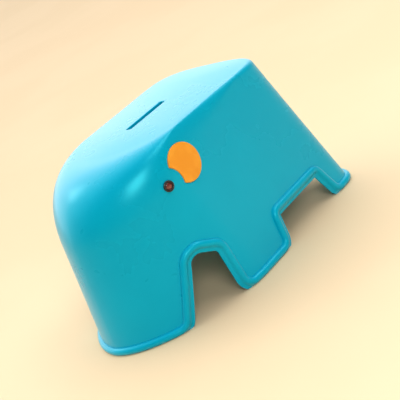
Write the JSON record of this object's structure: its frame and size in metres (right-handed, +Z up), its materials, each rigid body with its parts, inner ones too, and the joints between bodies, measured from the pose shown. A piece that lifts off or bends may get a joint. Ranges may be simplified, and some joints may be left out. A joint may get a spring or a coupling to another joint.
{
  "type": "elephant money bank",
  "caption": "Moulded elephant money bank with a splayed shell on trunk and feet, a coin slot in its back, inlaid ears, stud eyes and a screwed chamber floor with a pull-out rubber plug.",
  "frame": {"origin": "On the ground under the middle of the bank's bounding box.", "axes": "+X runs from the tail to the trunk, +Y to the elephant's left, which is the side that the ear and eye of the left hand are on, and +Z up. The bank is symmetrical about the XZ plane."},
  "size_m": [0.1918, 0.1222, 0.1015],
  "materials": {
    "shell": "satin turquoise moulded plastic with a soft sheen",
    "floor": "turquoise moulded plastic with a fine matt texture",
    "screw": "zinc-plated steel",
    "plug": "soft dark grey rubber",
    "ear": "satin orange plastic inlay",
    "eye_rim": "black plastic",
    "eye_lens": "dark red-brown gloss plastic",
    "washer": "spring-steel push-on washer"
  },
  "bodies": {
    "root": {"body_shell": "shell", "chamber_floor": "floor", "floor_screws": "screw", "ear_left": "ear", "ear_right": "ear", "eye_rim_left": "eye_rim", "eye_rim_right": "eye_rim", "eye_lens_left": "eye_lens", "eye_lens_right": "eye_lens", "eye_washers": "washer"},
    "plug": {"emptying_plug": "plug"}
  },
  "joints": [
    {"name": "plug_pull", "type": "slide", "parent": "root", "child": "plug", "axis": [0, 0, -1], "range_m": [0, 0.028]}
  ]
}
